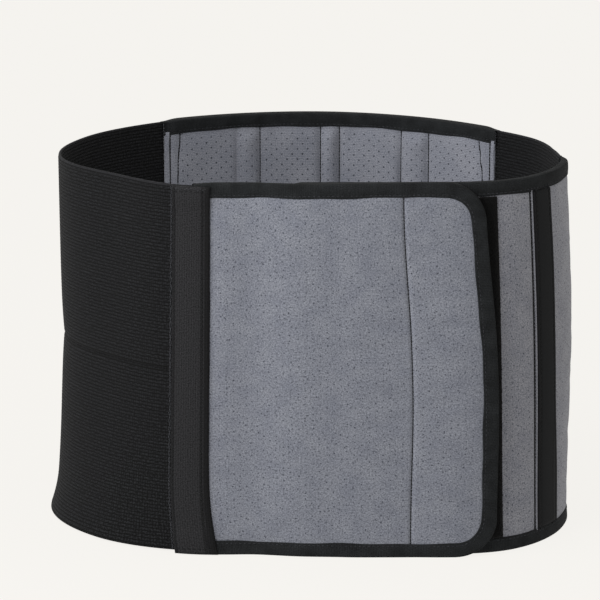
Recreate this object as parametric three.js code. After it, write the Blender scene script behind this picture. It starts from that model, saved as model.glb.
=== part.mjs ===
// Abdominal binder, closed as it is worn and standing on its lower edge.
// Sizes are in mm, +X is the wearer's left as seen from the front, +Y is the back and +Z is up.
// A place on the wall is given by three numbers: the distance along the wall from the front centre,
// the distance out from the inner face of the panels, and the height.
import * as THREE from "three";

// Driving sizes
const panelHeight = 238.5;
const halfWidth = 156;
const panelThick = 3.2;
const tapeThick = 0.8;
const tapeDepth = 9;
const cornerRadius = 20;
const seamGap = 0.32;
const elasticThick = 1.8;
const elasticInset = 2;
const joinHeight = 119;
const shellThick = 1.6;
const loopThick = 1.2;
const hookThick = 1.1;
const webThick = 1.1;

// Distances along the wall, from the front centre
const flapStart = -65.3;
const flapEnd = 119.5;
const seamBandWidth = 21;
const sideStart = -20;
const sideEnd = 236;
const sideBandStart = 152.9;
const sideBandWidth = 18.3;
const loopEnd = 125.5;
const loopWidth = 100;
const hookWidth = 38;

// The back panel, from its own centre
const backWidth = 245.5;
const backShift = 2.7;
const elasticLap = 12;
const stayDepth = 2.2;

// Small shapes of the soft wall
const seamDip = 2;
const footFlare = 4;
const flapRise = 1.5;
const footSpread = 0.04;

// Reach of the wall from the middle, as shares of the half width, at the rim and at the foot.
// Belly is how far the middle height stands out. Turn is in degrees, from the front towards +X.
const planTable = [
  { turn: 0, rim: 0.49, foot: 0.485, belly: 0 },
  { turn: 22.5, rim: 0.515, foot: 0.52, belly: 0 },
  { turn: 45, rim: 0.64, foot: 0.65, belly: 0.004 },
  { turn: 67.5, rim: 0.912, foot: 0.94, belly: 0.016 },
  { turn: 90, rim: 1.03, foot: 1.06, belly: 0.026 },
  { turn: 112.5, rim: 1.035, foot: 1.045, belly: 0.01 },
  { turn: 135, rim: 1, foot: 1, belly: 0 },
  { turn: 157.5, rim: 1, foot: 1, belly: 0 },
  { turn: 180, rim: 1.012, foot: 1.012, belly: 0 },
  { turn: 202.5, rim: 1.01, foot: 1.01, belly: 0 },
  { turn: 225, rim: 1.02, foot: 1.02, belly: 0 },
  { turn: 247.5, rim: 1.03, foot: 1.035, belly: -0.005 },
  { turn: 270, rim: 0.974, foot: 1.02, belly: -0.01 },
  { turn: 292.5, rim: 0.765, foot: 0.88, belly: 0 },
  { turn: 315, rim: 0.655, foot: 0.68, belly: 0 },
  { turn: 337.5, rim: 0.51, foot: 0.515, belly: 0 },
];

// The three sewn channels of the back lining: centre and width as shares of the back panel's width.
const stayTable = [
  { name: "right", centre: -0.2295, width: 0.085 },
  { name: "middle", centre: 0.0195, width: 0.053 },
  { name: "left", centre: 0.249, width: 0.066 },
];

// Heights of the rows of a wall piece, as shares of its height.
const rowShares = [0, 0.034, 0.11, 0.22, 0.36, 0.5, 0.64, 0.78, 0.9, 0.966, 1];
const bandShares = [0, 0.07, 0.22, 0.5, 0.78, 0.93, 1];

// Layers, out from the inner face of the panels
const sleeve = seamGap + tapeThick;
const loopOut = panelThick + seamGap + loopThick;
const hookOut = loopOut + seamGap + hookThick;
const flapIn = Math.max(hookOut, panelThick + 2 * sleeve) + seamGap;
const flapOut = flapIn + panelThick;
const backElasticIn = panelThick + seamGap;
const shellIn = backElasticIn + elasticThick + seamGap;
const shellOut = shellIn + shellThick;
const sideElasticOut = -(sleeve + seamGap);

const smooth = (t) => {
  const u = Math.min(1, Math.max(0, t));
  return u * u * (3 - 2 * u);
};

// One column of the plan table at any turn, as a smooth closed curve through its rows.
function fromPlan(column, turn) {
  const step = 360 / planTable.length;
  const row = Math.floor(turn / step);
  const t = turn / step - row;
  const value = (k) => planTable[(row + k + 2 * planTable.length) % planTable.length][column];
  const [a, b, c, d] = [value(-1), value(0), value(1), value(2)];
  const bend = (2 * a - 5 * b + 4 * c - d) * t * t + (3 * b - a - 3 * c + d) * t * t * t;
  return 0.5 * (2 * b + (c - a) * t + bend);
}

// The inner face in plan at a turn and a height.
function planPoint(turn, z) {
  const up = Math.min(1, Math.max(0, z / panelHeight));
  const low = 1 - up;
  const lean = 0.5 * low + 0.5 * low ** 6;
  const rim = fromPlan("rim", turn);
  const share = rim + (fromPlan("foot", turn) - rim) * lean;
  const reach = halfWidth * (share + fromPlan("belly", turn) * Math.sin(Math.PI * up));
  const angle = THREE.MathUtils.degToRad(turn);
  return new THREE.Vector2(reach * Math.sin(angle), -reach * Math.cos(angle));
}

// Distance along the wall at half height against turn, one round each way from the front centre.
const turnStep = 0.5;
const wallTurns = [];
const wallLengths = [];
for (let turn = -360; turn <= 360; turn += turnStep) {
  const last = wallTurns.length - 1;
  const here = planPoint(turn, panelHeight / 2);
  const run = last < 0 ? 0 : here.distanceTo(planPoint(wallTurns[last], panelHeight / 2));
  wallTurns.push(turn);
  wallLengths.push(last < 0 ? 0 : wallLengths[last] + run);
}
const girth = wallLengths[wallLengths.length - 1] / 2;

function turnAt(along) {
  const length = along + girth;
  let low = 0;
  let high = wallLengths.length - 1;
  while (high - low > 1) {
    const middle = (low + high) >> 1;
    if (wallLengths[middle] > length) high = middle;
    else low = middle;
  }
  const share = (length - wallLengths[low]) / (wallLengths[high] - wallLengths[low]);
  return wallTurns[low] + share * turnStep;
}

// Upright seams of the front stand further apart at the foot than at the rim.
function spread(along, z) {
  const front = 1 - smooth((Math.abs(along) - 0.18 * girth) / (0.11 * girth));
  return along * (1 + footSpread * front * (0.5 - z / panelHeight));
}

// A point of the object from its distance along the wall, its distance out and its height.
function place(along, out, z) {
  const turn = turnAt(spread(along, z));
  const here = planPoint(turn, z);
  const run = planPoint(turn + turnStep, z).sub(planPoint(turn - turnStep, z)).normalize();
  return new THREE.Vector3(here.x + out * run.y, here.y - out * run.x, z);
}

// The same places along the wall serve every piece, so that neighbouring layers stay parallel.
const stationStep = girth / 96;
function stations(from, to, more = []) {
  const list = [from, to, ...more.filter((along) => along > from && along < to)];
  for (let k = Math.ceil(from / stationStep); k * stationStep < to; k += 1) {
    const along = k * stationStep;
    if (list.every((other) => Math.abs(other - along) > 0.2 * stationStep)) list.push(along);
  }
  return list.sort((a, b) => a - b);
}

// A closed body from rings of points that follow each other, with the faces of a first ring as caps.
function bodyFromRings(rings, capFaces) {
  const count = rings[0].length;
  const points = rings.flat();
  const faces = [];
  for (let i = 0; i + 1 < rings.length; i += 1) {
    for (let k = 0; k < count; k += 1) {
      const next = (k + 1) % count;
      const [a, b] = [i * count + k, i * count + next];
      faces.push([a, b, b + count], [a, b + count, a + count]);
    }
  }
  const lastRing = (rings.length - 1) * count;
  for (const [a, b, c] of capFaces) {
    faces.push([a, c, b], [a + lastRing, b + lastRing, c + lastRing]);
  }
  let volume = 0;
  for (const [a, b, c] of faces) {
    volume += points[a].dot(points[b].clone().cross(points[c])) / 6;
  }
  const geometry = new THREE.BufferGeometry();
  const numbers = points.flatMap((point) => point.toArray());
  geometry.setAttribute("position", new THREE.Float32BufferAttribute(numbers, 3));
  geometry.setIndex(faces.flatMap(([a, b, c]) => (volume > 0 ? [a, b, c] : [a, c, b])));
  return geometry;
}

// A wall piece: each station carries one ring, up the inner face and down the outer face.
function wallPiece({ along, low, high, inner, outer, shares = rowShares }) {
  const count = shares.length;
  const rings = along.map((s) => {
    const heights = shares.map((share) => low(s) + (high(s) - low(s)) * share);
    const inside = heights.map((z) => place(s, inner(s, z), z));
    const outside = heights.map((z) => place(s, outer(s, z), z));
    return [...inside, ...outside.reverse()];
  });
  const caps = [];
  for (let k = 0; k + 1 < count; k += 1) {
    const [a, b, c, d] = [k, k + 1, 2 * count - 2 - k, 2 * count - 1 - k];
    caps.push([a, b, c], [a, c, d]);
  }
  return bodyFromRings(rings, caps);
}

// Folded edge tape along a path of places, round the wall between two layers.
function edgeTape(path, layerIn, layerOut) {
  const section = [
    [0, layerIn - sleeve],
    [tapeDepth, layerIn - sleeve],
    [tapeDepth, layerIn - seamGap],
    [tapeThick, layerIn - seamGap],
    [tapeThick, layerOut + seamGap],
    [tapeDepth, layerOut + seamGap],
    [tapeDepth, layerOut + sleeve],
    [0, layerOut + sleeve],
  ];
  const rings = path.map(({ along, z, inward }) =>
    section.map(([deep, out]) => place(along + inward[0] * deep, out, z + inward[1] * deep)),
  );
  const caps = [[0, 1, 2], [0, 2, 3], [0, 3, 4], [0, 4, 7], [4, 5, 6], [4, 6, 7]];
  return bodyFromRings(rings, caps);
}

// The outline of a panel with one rounded end: along the top, round the end and back along the foot.
function roundedPath(open, end, top) {
  const way = Math.sign(end - open);
  const bend = end - way * cornerRadius;
  const straight = stations(Math.min(open, bend), Math.max(open, bend));
  if (way < 0) straight.reverse();
  const arc = [15, 30, 45, 60, 75].map((angle) => THREE.MathUtils.degToRad(angle));
  const rise = top(end) - cornerRadius;
  const path = straight.map((along) => ({ along, z: top(along), inward: [0, -1] }));
  for (const angle of arc) {
    const [side, up] = [Math.sin(angle), Math.cos(angle)];
    const along = bend + way * cornerRadius * side;
    path.push({ along, z: rise + cornerRadius * up, inward: [-way * side, -up] });
  }
  for (const share of [1, 0.75, 0.5, 0.25, 0]) {
    path.push({ along: end, z: cornerRadius + (rise - cornerRadius) * share, inward: [-way, 0] });
  }
  for (const angle of arc.toReversed()) {
    const [side, down] = [Math.sin(angle), Math.cos(angle)];
    const along = bend + way * cornerRadius * side;
    path.push({ along, z: cornerRadius * (1 - down), inward: [-way * side, down] });
  }
  for (const along of straight.toReversed()) path.push({ along, z: 0, inward: [0, 1] });
  return path;
}

// How far a rounded end cuts into the height at a place, measured from the edge of the panel.
function cornerCut(along, end, way) {
  const radius = cornerRadius - sleeve;
  const past = (along - (end - way * cornerRadius)) * way;
  if (past <= 0) return 0;
  return radius - Math.sqrt(Math.max(0, radius * radius - past * past));
}

function cornerStations(end, way) {
  const radius = cornerRadius - sleeve;
  return [0, 15, 30, 45, 60, 75].map((angle) => {
    return end - way * cornerRadius + way * radius * Math.sin(THREE.MathUtils.degToRad(angle));
  });
}

// A panel with one rounded end, inside its edge tape.
function roundedPanel(open, end, layerIn, top) {
  const way = Math.sign(end - open);
  const edge = end - way * sleeve;
  return wallPiece({
    along: stations(Math.min(open, edge), Math.max(open, edge), cornerStations(end, way)),
    low: (s) => sleeve + cornerCut(s, end, way),
    high: (s) => top(s) - sleeve - cornerCut(s, end, way),
    inner: () => layerIn,
    outer: () => layerIn + panelThick,
  });
}

const level = () => panelHeight;
const flapTop = (along) => panelHeight + flapRise * smooth((along - flapStart) / (flapEnd - flapStart));

// Elastic: two bands, one above the other, that dip in where they meet and flare out at the foot.
// Its layer moves from one level to another between its two ends.
function elasticBand({ from, to, layerFrom, layerTo, insetFrom, insetTo, upper }) {
  const free = (s) => Math.min(1, Math.max(0, (s - from - elasticLap) / (to - from - 2 * elasticLap)));
  const inner = (s, z) => {
    const middle = Math.sin(Math.PI * free(s));
    const dip = seamDip * Math.exp(-Math.abs(z - joinHeight) / (0.08 * panelHeight));
    const flare = footFlare * Math.max(0, 1 - z / (0.12 * panelHeight)) ** 2;
    return layerFrom + (layerTo - layerFrom) * smooth(free(s)) + middle * (flare - dip);
  };
  const low = upper ? joinHeight + seamGap / 2 : elasticInset;
  const rim = (s) => panelHeight - insetFrom - (insetTo - insetFrom) * free(s);
  return wallPiece({
    along: stations(from, to),
    low: () => low,
    high: (s) => (upper ? rim(s) : joinHeight - seamGap / 2),
    inner,
    outer: (s, z) => inner(s, z) + elasticThick,
    shares: bandShares,
  });
}

// Back panel
const backCentre = girth / 2 + backShift;
const backStart = backCentre - backWidth / 2;
const backEnd = backCentre + backWidth / 2;

function stayBulge(along, z) {
  const fade = smooth((z - tapeDepth) / tapeDepth) * smooth((panelHeight - tapeDepth - z) / tapeDepth);
  const heights = stayTable.map(({ centre, width }) => {
    const across = (along - backCentre - centre * backWidth) / (0.5 * width * backWidth);
    return Math.abs(across) < 1 ? Math.cos((Math.PI / 2) * across) : 0;
  });
  return stayDepth * fade * Math.max(...heights);
}

const stayStations = stayTable.flatMap(({ centre, width }) =>
  [-0.5, -0.25, 0, 0.25, 0.5].map((share) => backCentre + (centre + share * width) * backWidth),
);

function backLining() {
  return wallPiece({
    along: stations(backStart, backEnd, stayStations),
    low: () => sleeve,
    high: () => panelHeight - sleeve,
    inner: (s, z) => -stayBulge(s, z),
    outer: () => panelThick,
    shares: [0, 0.034, 0.075, 0.29, 0.5, 0.71, 0.925, 0.966, 1],
  });
}

function backShell() {
  return wallPiece({
    along: stations(backStart, backEnd),
    low: () => sleeve,
    high: () => panelHeight - sleeve,
    inner: () => shellIn,
    outer: () => shellOut,
    shares: [0, 0.034, 0.29, 0.5, 0.71, 0.966, 1],
  });
}

function backTape(z, up) {
  const path = stations(backStart, backEnd).map((along) => ({ along, z, inward: [0, -up] }));
  return edgeTape(path, 0, shellOut);
}

// A flat trim that lies on a layer between two places and two heights.
function trim({ from, to, low, high, layerIn, thick, lift = () => 0 }) {
  return wallPiece({
    along: stations(from, to),
    low: () => low,
    high: () => high,
    inner: (s, z) => layerIn + lift(z),
    outer: (s, z) => layerIn + thick + lift(z),
  });
}

// The seam band climbs over the edge tape of the front panel at both of its ends.
function overTape(z) {
  const fromEnd = Math.min(z, panelHeight - z);
  return sleeve * (1 - smooth((fromEnd - tapeDepth - 0.5) / tapeDepth));
}

const blackCloth = "#17181a";
const greyFoam = "#6f7480";
const elasticAt = { front: flapOut - elasticThick, back: backElasticIn, side: sideElasticOut - elasticThick };
const leftSpan = { from: backEnd - elasticLap - girth, to: flapStart - seamGap };
const leftLayers = { layerFrom: elasticAt.back, layerTo: elasticAt.front };
const leftInsets = { insetFrom: sleeve, insetTo: elasticInset };
const rightSpan = { from: sideEnd - elasticLap, to: backStart + elasticLap };
const rightLayers = { layerFrom: elasticAt.side, layerTo: elasticAt.back };
const rightInsets = { insetFrom: sleeve, insetTo: sleeve };
const bandMiddle = flapStart - seamGap / 2;
const innerEdge = tapeDepth + seamGap;

const seamBand = trim({
  from: bandMiddle - seamBandWidth / 2,
  to: bandMiddle + seamBandWidth / 2,
  low: seamGap,
  high: panelHeight - elasticInset,
  layerIn: flapOut + seamGap,
  thick: webThick,
  lift: overTape,
});
const hookPad = trim({
  from: flapEnd - innerEdge - hookWidth,
  to: flapEnd - innerEdge,
  low: cornerRadius,
  high: panelHeight - cornerRadius,
  layerIn: loopOut + seamGap,
  thick: hookThick,
});
const loopPad = trim({
  from: loopEnd - loopWidth,
  to: loopEnd,
  low: innerEdge,
  high: panelHeight - innerEdge,
  layerIn: panelThick + seamGap,
  thick: loopThick,
});
const sideBand = trim({
  from: sideBandStart,
  to: sideBandStart + sideBandWidth,
  low: innerEdge,
  high: panelHeight - innerEdge,
  layerIn: panelThick + seamGap,
  thick: webThick,
});

const left = { ...leftSpan, ...leftLayers, ...leftInsets };
const right = { ...rightSpan, ...rightLayers, ...rightInsets };
const flapPath = roundedPath(flapStart, flapEnd, flapTop);
const sidePath = roundedPath(sideEnd, sideStart, level);

// Each piece: its name, its colour, how rough its surface is, and its shape
const pieces = [
  ["front_panel", greyFoam, 0.92, roundedPanel(flapStart, flapEnd, flapIn, flapTop)],
  ["front_panel_tape", blackCloth, 0.85, edgeTape(flapPath, flapIn, flapOut)],
  ["front_seam_band", blackCloth, 0.8, seamBand],
  ["hook_pad", blackCloth, 0.95, hookPad],
  ["loop_pad", blackCloth, 1, loopPad],
  ["side_panel", greyFoam, 0.92, roundedPanel(sideEnd, sideStart, 0, level)],
  ["side_panel_tape", blackCloth, 0.85, edgeTape(sidePath, 0, panelThick)],
  ["side_band", blackCloth, 0.8, sideBand],
  ["left_elastic_upper", blackCloth, 0.8, elasticBand({ ...left, upper: true })],
  ["left_elastic_lower", blackCloth, 0.8, elasticBand({ ...left, upper: false })],
  ["right_elastic_upper", blackCloth, 0.8, elasticBand({ ...right, upper: true })],
  ["right_elastic_lower", blackCloth, 0.8, elasticBand({ ...right, upper: false })],
  ["back_lining", greyFoam, 0.92, backLining()],
  ["back_shell", blackCloth, 0.9, backShell()],
  ["back_tape_top", blackCloth, 0.85, backTape(panelHeight, 1)],
  ["back_tape_foot", blackCloth, 0.85, backTape(0, -1)],
];

const binder = new THREE.Group();
binder.name = "abdominal_binder";
for (const [name, color, roughness, geometry] of pieces) {
  const material = new THREE.MeshStandardMaterial({ color, roughness, metalness: 0 });
  const mesh = new THREE.Mesh(geometry, material);
  mesh.name = name;
  binder.add(mesh);
}

// The middle of the whole footprint is the origin.
const middle = new THREE.Box3().setFromObject(binder).getCenter(new THREE.Vector3());
for (const mesh of binder.children) mesh.geometry.translate(-middle.x, -middle.y, 0);

export default binder;
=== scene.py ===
# Abdominal binder, closed as it is worn and standing on its lower edge.
# Grey padded panels with black edge tape, joined by two wide bands of black ribbed elastic.
import math
import time

import bpy
import numpy as np
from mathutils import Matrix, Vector


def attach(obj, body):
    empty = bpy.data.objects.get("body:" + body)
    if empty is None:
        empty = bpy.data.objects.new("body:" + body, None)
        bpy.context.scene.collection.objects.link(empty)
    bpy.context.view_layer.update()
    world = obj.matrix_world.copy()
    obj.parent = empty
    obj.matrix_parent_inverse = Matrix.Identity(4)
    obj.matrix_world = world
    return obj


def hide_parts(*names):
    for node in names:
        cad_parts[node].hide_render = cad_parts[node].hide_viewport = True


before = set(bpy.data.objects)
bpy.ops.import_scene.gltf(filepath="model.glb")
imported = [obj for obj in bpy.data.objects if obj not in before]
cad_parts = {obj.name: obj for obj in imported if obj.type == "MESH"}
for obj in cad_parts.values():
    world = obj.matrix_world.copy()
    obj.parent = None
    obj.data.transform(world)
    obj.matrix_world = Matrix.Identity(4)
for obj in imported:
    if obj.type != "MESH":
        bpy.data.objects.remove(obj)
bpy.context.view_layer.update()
started = time.time()

# The wall runs round the waist. A place on it is the distance along it from the front centre,
# the distance out from the inner face of the panels, and the height, all in mm.
wall = {
    "height": 238.5,
    "halfWidth": 156,
    "turnStep": 0.5,
    "footSpread": 0.04,  # upright seams of the front stand further apart at the foot
    "footSway": 4.1,  # the left front seam swings this far right at its foot
    "footTall": 55,
    "swayAt": (-65, 40),  # place and width of the swing
    # The flap's free part: its middle reaches further round, and its top is closed further back
    "flapFree": (60, 130),
    "flapReach": 2.3,
    "reachAt": (100, 60),
    "flapSkew": 2.8,
    "skewFrom": 140,
    "skewTall": 85,
    # The rim dips a little where the side panel ends on the elastic
    "lapAt": (234, 13),
    "lapDip": 1.4,
    "lapIn": 0.9,
    "middle": (-0.535, 38.814),  # middle of the footprint, which stands at the origin
    # Reach from the middle every 22.5 degrees, as shares of the half width
    "rim": [0.49, 0.515, 0.64, 0.912, 1.03, 1.035, 1, 1, 1.012, 1.01, 1.02, 1.03, 0.974, 0.765, 0.655, 0.51],
    "foot": [0.485, 0.52, 0.65, 0.94, 1.06, 1.045, 1, 1, 1.012, 1.01, 1.02, 1.035, 1.02, 0.88, 0.68, 0.515],
    "belly": [0, 0, 0.004, 0.016, 0.026, 0.01, 0, 0, 0, 0, 0, -0.005, -0.01, 0, 0, 0],
}
height = wall["height"]

# Thicknesses of the pieces and the layers that they lie on
panelThick = 3.2
gap = 0.32
tapeDepth = 9
sleeve = gap + 0.8
loopOut = panelThick + gap + 1.2
hookOut = loopOut + gap + 1.1
flapIn = max(hookOut, panelThick + 2 * sleeve) + gap
flapOut = flapIn + panelThick
flapLayer = 5.2  # what lies further out than this belongs to the flap
elasticThick = 1.8
backElasticIn = panelThick + gap
shellIn = backElasticIn + elasticThick + gap
shellOut = shellIn + 1.6
sideElasticIn = -(sleeve + gap) - elasticThick


def smooth(value):
    t = np.clip(value, 0, 1)
    return t * t * (3 - 2 * t)


def level(value):
    return lambda s: value + 0 * s


def rampUp(s, amount, start, length):
    return amount * smooth((s - start) / length)


def addedUp(parts):
    return np.concatenate([[0], np.cumsum(parts)])


def fromPlan(column, turn):  # a smooth closed curve through the rows of one column
    values = np.array(wall[column], float)
    t = turn * len(values) / 360
    row = np.floor(t).astype(int)
    t = t - row
    a, b, c, d = (values[(row + k) % len(values)] for k in (-1, 0, 1, 2))
    bend = (2 * a - 5 * b + 4 * c - d) * t**2 + (3 * b - a - 3 * c + d) * t**3
    return 0.5 * (2 * b + (c - a) * t + bend)


def planPoint(turn, z):
    up = np.clip(z / height, 0, 1)
    low = 1 - up
    lean = 0.5 * low + 0.5 * low**6
    rim = fromPlan("rim", turn)
    share = rim + (fromPlan("foot", turn) - rim) * lean
    reach = wall["halfWidth"] * (share + fromPlan("belly", turn) * np.sin(np.pi * up))
    angle = np.radians(turn)
    return np.stack([reach * np.sin(angle), -reach * np.cos(angle)], -1)


turns = np.arange(-360, 360 + wall["turnStep"], wall["turnStep"])
rounds = np.linalg.norm(np.diff(planPoint(turns, height / 2), axis=0), axis=1)
lengths = addedUp(rounds)
girth = lengths[-1] / 2


def near(value, centre, width):
    return np.exp(-(((value - centre) / width) ** 2))


def turnAt(along, z):
    low = np.clip(1 - z / wall["footTall"], 0, 1) ** 2
    along = along + wall["footSway"] * near(along, *wall["swayAt"]) * low
    front = 1 - smooth((abs(along) - 0.18 * girth) / (0.11 * girth))
    spread = 1 + wall["footSpread"] * front * (0.5 - z / height)
    return np.interp(along * spread + girth, lengths, turns)


def outward(turn, z):
    step = wall["turnStep"]
    run = planPoint(turn + step, z) - planPoint(turn - step, z)
    run /= np.linalg.norm(run, axis=-1, keepdims=True)
    return np.stack([run[..., 1], -run[..., 0]], -1)


def place(along, out, z):  # mm on the wall to metres in the frame
    along, out, z = np.broadcast_arrays(*(np.asarray(v, float) for v in (along, out, z)))
    atLap = near(along, *wall["lapAt"]) * smooth(z / height * 5 - 4) * smooth((out - 0.1) / 0.5)
    out, z = out - wall["lapIn"] * atLap, z - wall["lapDip"] * atLap
    full, end = wall["flapFree"]
    onFlap = smooth((out - flapLayer) / 0.8) * smooth(along / full) * (along < end)
    lean = wall["flapReach"] * near(z, *wall["reachAt"])
    lean = lean - wall["flapSkew"] * smooth((z - wall["skewFrom"]) / wall["skewTall"])
    turn = turnAt(along + onFlap * lean, z)
    flat = planPoint(turn, z) + out[..., None] * outward(turn, z) - wall["middle"]
    return np.concatenate([flat, z[..., None]], -1) / 1000


def facing(along, z, side=1):  # unit vector out of the wall, or into it with side -1
    flat = outward(turnAt(along, z), z) * side
    return np.concatenate([flat, np.zeros_like(flat[..., :1])], -1)


def steps(start, end, size, more=()):
    count = max(1, round(abs(end - start) / size))
    inside = [m for m in more if min(start, end) < m < max(start, end)]
    return np.unique(np.concatenate([np.linspace(start, end, count + 1), inside]))


def gridOf(columns, rows):
    return np.meshgrid(columns, rows, indexing="ij")


def zigzag(row):
    return np.where(np.arange(len(row)) % 2, 1, -1)


def within(s, low, high):
    return ((s > low) & (s < high)).astype(float)


def roundOff(border, radius, least):  # share of the thickness that is left near a rounded edge
    return np.sqrt(np.clip(1 - (1 - np.clip(border / radius, 0, 1)) ** 2, least, 1))


def blurred(grid, times):
    for _ in range(times):
        for axis in (0, 1):
            wide = np.pad(grid, [(1, 1) if k == axis else (0, 0) for k in (0, 1)], "edge")
            sides = np.take(wide, range(len(grid) if axis == 0 else grid.shape[1]), axis)
            others = np.take(wide, range(2, wide.shape[axis]), axis)
            grid = 0.25 * sides + 0.5 * grid + 0.25 * others
    return grid


def sampled(grid, columns, rows, x, y):  # straight-line values between the points of a grid
    i = np.clip(np.searchsorted(columns, x) - 1, 0, len(columns) - 2)
    k = np.clip(np.searchsorted(rows, y) - 1, 0, len(rows) - 2)
    u = np.clip((x - columns[i]) / (columns[i + 1] - columns[i]), 0, 1)
    v = np.clip((y - rows[k]) / (rows[k + 1] - rows[k]), 0, 1)
    low = grid[i, k] * (1 - u) + grid[i + 1, k] * u
    return low * (1 - v) + (grid[i, k + 1] * (1 - u) + grid[i + 1, k + 1] * u) * v


def linear(code):  # sRGB hex to the linear colour that the nodes take
    parts = [int(code[k : k + 2], 16) / 255 for k in (1, 3, 5)]
    return [p / 12.92 if p <= 0.04045 else ((p + 0.055) / 1.055) ** 2.4 for p in parts] + [1]


def addNode(tree, kind, inputs=None, **settings):
    node = tree.nodes.new(kind)
    for key, value in settings.items():
        setattr(node, key, value)
    for key, value in (inputs or {}).items():
        if isinstance(value, bpy.types.Node):
            value = value.outputs[0]
        if isinstance(value, bpy.types.NodeSocket):
            tree.links.new(value, node.inputs[key])
        else:
            node.inputs[key].default_value = value
    return node


def newFinish(name):
    material = bpy.data.materials.new(name)
    material.use_nodes = True
    material.node_tree.nodes.clear()
    return material, material.node_tree


# Materials. Each look lists its threads and fibres with their real size in mm, and its shades.
# One builder turns every look into nodes. The cloth's own UV map is in metres.
usualLook = {"roughness": 0.9, "sheen": 0.0, "specular": 0.1}


def makeFinish(name, look):
    look = {**usualLook, **look}
    material, tree = newFinish(name)
    source = addNode(tree, "ShaderNodeUVMap", uv_map="cloth").outputs["UV"]
    if look.get("loose"):  # stitches and holes carry no UV map
        source = addNode(tree, "ShaderNodeTexCoord").outputs["Object"]
    grain = 0.0
    for layer in look["layers"]:
        vector = addNode(
            tree, "ShaderNodeVectorMath", {0: source, 1: layer.get("stretch", (1, 1, 1))},
            operation="MULTIPLY",
        )
        kind, settings = "ShaderNodeTexNoise", {}
        inputs = {"Scale": 1000 / layer["mm"], "Detail": layer.get("detail", 3), "Roughness": 0.6}
        if "across" in layer:
            kind, settings = "ShaderNodeTexWave", {"bands_direction": layer["across"]}
            inputs = {
                "Scale": 100 * math.pi / layer["mm"], "Distortion": layer["wobble"], "Detail": 1,
                "Detail Scale": 2,
            }
        made = addNode(tree, kind, {"Vector": vector, **inputs}, **settings)
        grain = addNode(
            tree, "ShaderNodeMath", {0: made.outputs["Fac"], 1: layer["share"], 2: grain},
            operation="MULTIPLY_ADD",
        )
    colour = None
    for shade in look["shades"]:
        value = grain
        if "attribute" in shade:
            drawn = addNode(tree, "ShaderNodeAttribute", attribute_name=shade["attribute"])
            value = drawn.outputs["Fac"]
        elif "mm" in shade:
            inputs = {"Vector": source, "Scale": 1000 / shade["mm"], "Detail": 2}
            value = addNode(tree, "ShaderNodeTexNoise", inputs).outputs["Fac"]
        ramp = addNode(tree, "ShaderNodeValToRGB", {"Fac": value})
        for element, (position, code) in zip(ramp.color_ramp.elements, shade["ramp"]):
            element.position = position
            element.color = linear(code)
        tone = ramp
        if colour is not None:
            settings = {"data_type": "RGBA", "blend_type": shade.get("blend", "MULTIPLY")}
            tone = addNode(tree, "ShaderNodeMix", {0: 1.0, 6: colour, 7: tone}, **settings).outputs[2]
        colour = tone
    strength, mm = look["relief"]
    inputs = {"Height": grain, "Strength": strength, "Distance": mm / 1000}
    bump = addNode(tree, "ShaderNodeBump", inputs)
    shader = addNode(
        tree, "ShaderNodeBsdfPrincipled",
        {
            "Base Color": colour, "Roughness": look["roughness"], "Sheen Weight": look["sheen"],
            "Sheen Roughness": 0.6, "Specular IOR Level": look["specular"], "Normal": bump,
        },
    )
    addNode(tree, "ShaderNodeOutputMaterial", {"Surface": shader})
    return material


def brushedLaminate(dark, light):
    return {
        "layers": [{"mm": 1.0, "share": 0.6}, {"mm": 0.6, "share": 0.4, "stretch": (1, 1.4, 1)}],
        "shades": [
            {"ramp": [(0.32, dark), (0.68, light)]},
            {"mm": 1.3, "ramp": [(0.29, "#8f9199"), (0.4, "#ffffff")]},
            {"mm": 13, "ramp": [(0.3, "#e9eaee"), (0.7, "#ffffff")]},
        ],
        "relief": (0.5, 0.35), "roughness": 0.95, "sheen": 0.15, "specular": 0.15,
    }


# A close plain weave, a little coarser than real to show; painted shade darkens it along its sunk stitch
# lines, and a folded strip is a darker tone of its own
def wovenWebbing(dark, light):
    return {
        "layers": [
            {"mm": 1.3, "share": 0.08, "across": "X", "wobble": 1.5},
            {"mm": 0.9, "share": 0.12, "across": "Y", "wobble": 1.5}, {"mm": 0.75, "share": 0.8},
        ],
        "shades": [
            {"ramp": [(0.33, dark), (0.67, light)]},
            # painted shade along the stitch lines, and the darker tone of the folded strip
            {"attribute": "stitchShadeFoldTone", "ramp": [(0.0, "#ffffff"), (1.0, "#6a6a6e")]},
        ],
        "relief": (0.6, 0.25), "roughness": 0.8, "specular": 0.12,
    }


# Spun polyester thread, and the shade inside a small hole: both take an even grain
def plainFibre(dark, light, roughness, specular):
    return {
        "loose": True, "layers": [{"mm": 0.7, "share": 1.0, "detail": 1}],
        "shades": [{"ramp": [(0.35, dark), (0.65, light)]}], "relief": (0.3, 0.1),
        "roughness": roughness, "specular": specular,
    }


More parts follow.
